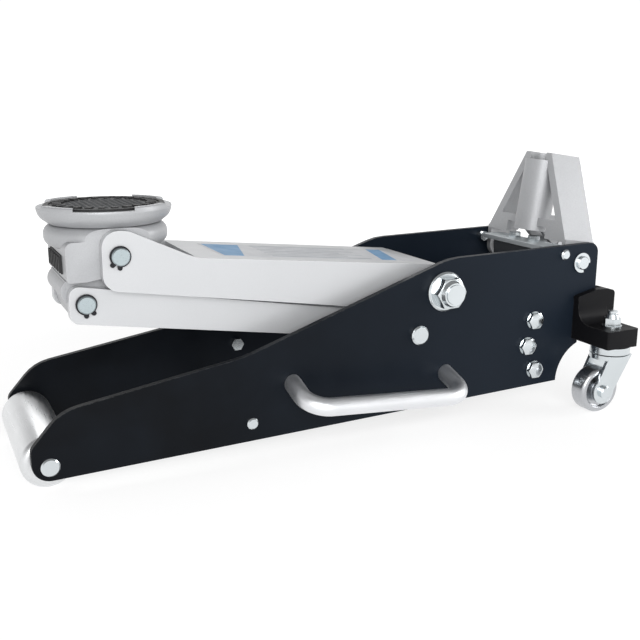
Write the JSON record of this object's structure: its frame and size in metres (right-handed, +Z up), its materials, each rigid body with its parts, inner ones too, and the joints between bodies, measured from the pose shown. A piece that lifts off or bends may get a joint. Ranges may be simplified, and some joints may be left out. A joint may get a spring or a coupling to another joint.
{
  "type": "trolley jack",
  "caption": "Low-profile trolley jack with a parallel lift arm, a swivelling padded saddle, a roller in front, two casters behind and a tilting handle socket.",
  "frame": {"origin": "middle of the footprint's box, on the floor", "axes": "+X from the front roller to the handle end, +Z up, the jack is symmetric about Y = 0"},
  "size_m": [0.5172, 0.226, 0.219],
  "materials": {
    "black_coat": "satin black powder coat",
    "bracket_black": "satin black paint on a casting",
    "silver_paint": "silver paint, fine metallic",
    "cast_silver": "cast, painted silver",
    "polished": "polished",
    "zinc": "bright zinc plate",
    "steel": "machined, oiled",
    "hard_chrome": "polished",
    "spring_steel": "black oxide",
    "bronze": "sintered bronze",
    "black_rubber": "moulded, matt",
    "cast_grey": "dark grey paint on a casting",
    "plug_black": "moulded"
  },
  "bodies": {
    "frame": {"left_side_plate": "black_coat", "right_side_plate": "black_coat", "front_axle": "zinc", "tie_rod": "steel", "tie_rod_screws": "zinc", "left_handle": "polished", "right_handle": "polished", "handle_bolts": "zinc", "arm_shaft": "zinc", "flange_nuts": "zinc", "pivot_spacers": "steel", "link_bolts": "zinc", "link_bolt_nuts": "zinc", "pump_block": "cast_grey", "bridge_post": "cast_grey", "block_bolts": "zinc", "ram_cylinder": "cast_grey", "gland_nut": "steel", "cross_plate": "zinc", "cross_plate_bolts": "zinc", "pump_barrel": "steel", "filler_plug": "plug_black", "socket_pins": "zinc", "socket_clips": "zinc", "stop_screws": "zinc", "left_caster_bracket": "bracket_black", "right_caster_bracket": "bracket_black", "caster_stems": "zinc", "stem_nuts": "zinc"},
    "front_roller": {"front_roller": "polished", "roller_bushes": "bronze"},
    "lift_arm": {"lift_arm": "silver_paint", "arm_bushes": "bronze", "lever_pin": "steel", "upper_pin": "zinc", "upper_clips": "spring_steel"},
    "lower_links": {"left_link": "silver_paint", "right_link": "silver_paint", "lower_pin": "zinc", "lower_clips": "spring_steel"},
    "saddle_bracket": {"saddle_bracket": "cast_silver", "bracket_bumper": "black_rubber", "saddle_screw": "steel"},
    "saddle": {"saddle_cup": "cast_silver", "saddle_pad": "black_rubber"},
    "ram": {"ram": "hard_chrome"},
    "handle_socket": {"handle_socket": "cast_silver"},
    "cam_roller": {"cam_roller": "steel"},
    "pump_piston": {"pump_piston": "hard_chrome", "piston_spring": "spring_steel"},
    "release_valve": {"release_valve": "steel"},
    "left_caster": {"left_fork": "zinc", "left_wheel_axle": "zinc"},
    "right_caster": {"right_fork": "zinc", "right_wheel_axle": "zinc"},
    "left_wheel": {"left_wheel": "steel"},
    "right_wheel": {"right_wheel": "steel"}
  },
  "joints": [
    {"name": "roller_spin", "type": "hinge", "parent": "frame", "child": "front_roller", "pos_m": [-0.2394, 0, 0.0192], "axis": [0, 1, 0], "continuous": true},
    {"name": "arm_lift", "type": "hinge", "parent": "frame", "child": "lift_arm", "pos_m": [0.0806, 0, 0.114], "axis": [0, 1, 0], "range_deg": [-22, 40]},
    {"name": "link_swing", "type": "hinge", "parent": "frame", "child": "lower_links", "pos_m": [0.0566, 0, 0.08], "axis": [0, 1, 0], "range_deg": [-22, 40]},
    {"name": "bracket_level", "type": "hinge", "parent": "lift_arm", "child": "saddle_bracket", "pos_m": [-0.1789, 0, 0.15976], "axis": [0, 1, 0], "range_deg": [-40, 22]},
    {"name": "saddle_turn", "type": "hinge", "parent": "saddle_bracket", "child": "saddle", "pos_m": [-0.1779, 0, 0.17916], "axis": [0, 0, 1], "continuous": true},
    {"name": "ram_stroke", "type": "slide", "parent": "frame", "child": "ram", "axis": [1, 0, 0], "range_m": [-0.024, 0.0133]},
    {"name": "socket_tilt", "type": "hinge", "parent": "frame", "child": "handle_socket", "pos_m": [0.223, 0, 0.1264], "axis": [0, 1, 0], "range_deg": [0, 42]},
    {"name": "cam_roll", "type": "hinge", "parent": "handle_socket", "child": "cam_roller", "pos_m": [0.24167, 0, 0.13357], "axis": [0, 1, 0], "continuous": true},
    {"name": "pump_stroke", "type": "slide", "parent": "frame", "child": "pump_piston", "axis": [0, 0, 1], "range_m": [-0.0145, 0], "stiffness_N_per_m": 900, "springref_m": 0.012, "deforming": ["piston_spring"]},
    {"name": "valve_turn", "type": "hinge", "parent": "frame", "child": "release_valve", "pos_m": [0.2556, 0.026, 0.076], "axis": [1, 0, 0], "range_deg": [0, 270]},
    {"name": "left_swivel", "type": "hinge", "parent": "frame", "child": "left_caster", "pos_m": [0.2346, -0.096, 0.05], "axis": [0, 0, 1], "continuous": true},
    {"name": "left_wheel_spin", "type": "hinge", "parent": "left_caster", "child": "left_wheel", "pos_m": [0.2201, -0.096, 0.02], "axis": [0, 1, 0], "continuous": true},
    {"name": "right_swivel", "type": "hinge", "parent": "frame", "child": "right_caster", "pos_m": [0.2346, 0.096, 0.05], "axis": [0, 0, 1], "continuous": true},
    {"name": "right_wheel_spin", "type": "hinge", "parent": "right_caster", "child": "right_wheel", "pos_m": [0.2201, 0.096, 0.02], "axis": [0, 1, 0], "continuous": true}
  ],
  "couplings": [
    {"joint": "link_swing", "follows": "arm_lift", "ratio": 1},
    {"joint": "bracket_level", "follows": "arm_lift", "ratio": -1},
    {"joint": "ram_stroke", "follows": "arm_lift", "m_per_rad": -0.0342},
    {"joint": "pump_stroke", "follows": "socket_tilt", "m_per_rad": -0.01955}
  ]
}
